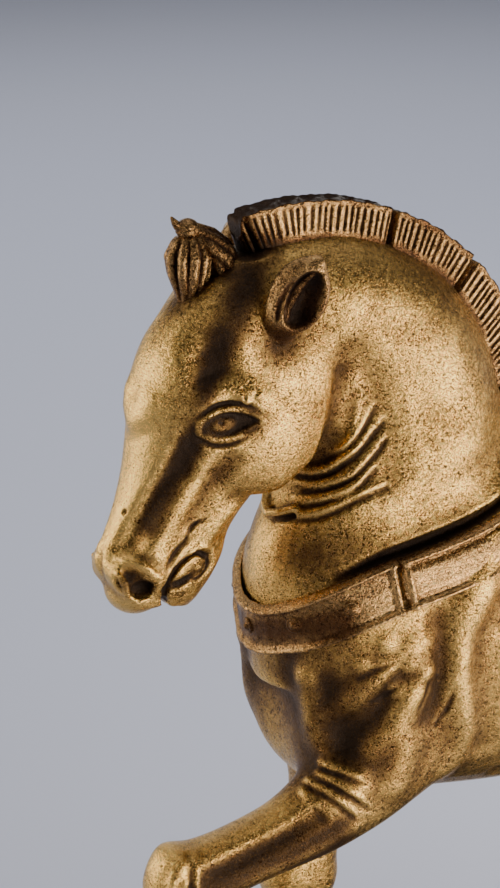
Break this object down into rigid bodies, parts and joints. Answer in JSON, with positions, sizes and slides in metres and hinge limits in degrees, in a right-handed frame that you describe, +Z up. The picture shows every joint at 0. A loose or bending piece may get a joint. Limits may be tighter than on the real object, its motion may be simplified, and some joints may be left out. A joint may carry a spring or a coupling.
{
  "type": "horse statuette",
  "caption": "Cast gilt-bronze statuette of a walking horse with a cropped mane, collar and raised foreleg, bolted to a stepped black marble plinth.",
  "frame": {"origin": "centre of the underside of the plinth's baize pad, on the surface that the statuette stands on", "axes": "+Z up, the horse faces -X, its left side and raised left foreleg are towards -Y"},
  "size_m": [0.236, 0.1, 0.2499],
  "materials": {
    "gilt_bronze": "worn gilding over cast bronze, finely pitted, with brown patina in the hollows",
    "dark_bronze": "brown patinated bronze with rubbed gold edges",
    "fitting_brass": "plain filed brass",
    "steel": "plain turned steel",
    "marble": "polished black marble with thin pale veins",
    "baize": "green wool baize"
  },
  "bodies": {
    "root": {"baize_pad": "baize", "body_casting": "gilt_bronze", "collar_boss_front": "gilt_bronze", "collar_boss_left_1": "gilt_bronze", "collar_boss_left_2": "gilt_bronze", "collar_boss_right_1": "gilt_bronze", "collar_boss_right_2": "gilt_bronze", "collar_front_band": "dark_bronze", "collar_rear_strap": "dark_bronze", "ear_left": "gilt_bronze", "ear_right": "gilt_bronze", "forelock_knot": "dark_bronze", "forelock_lock": "dark_bronze", "forelock_tuft": "dark_bronze", "head_and_neck_casting": "gilt_bronze", "left_foreleg": "gilt_bronze", "left_foreleg_dowel": "fitting_brass", "left_hind_leg": "gilt_bronze", "left_hind_leg_dowel": "fitting_brass", "left_hind_leg_nut": "steel", "left_hind_leg_stud": "steel", "left_hind_leg_washer": "steel", "mane_length_1": "dark_bronze", "mane_length_2": "dark_bronze", "mane_length_3": "dark_bronze", "mane_length_4": "dark_bronze", "neck_pin_lower_left": "fitting_brass", "neck_pin_lower_right": "fitting_brass", "neck_pin_upper_left": "fitting_brass", "neck_pin_upper_right": "fitting_brass", "neck_sleeve": "fitting_brass", "plinth": "marble", "right_foreleg": "gilt_bronze", "right_foreleg_dowel": "fitting_brass", "right_foreleg_nut": "steel", "right_foreleg_stud": "steel", "right_foreleg_washer": "steel", "right_hind_leg": "gilt_bronze", "right_hind_leg_dowel": "fitting_brass", "right_hind_leg_nut": "steel", "right_hind_leg_stud": "steel", "right_hind_leg_washer": "steel", "tail": "gilt_bronze", "tail_dowel": "fitting_brass"}
  },
  "joints": []
}
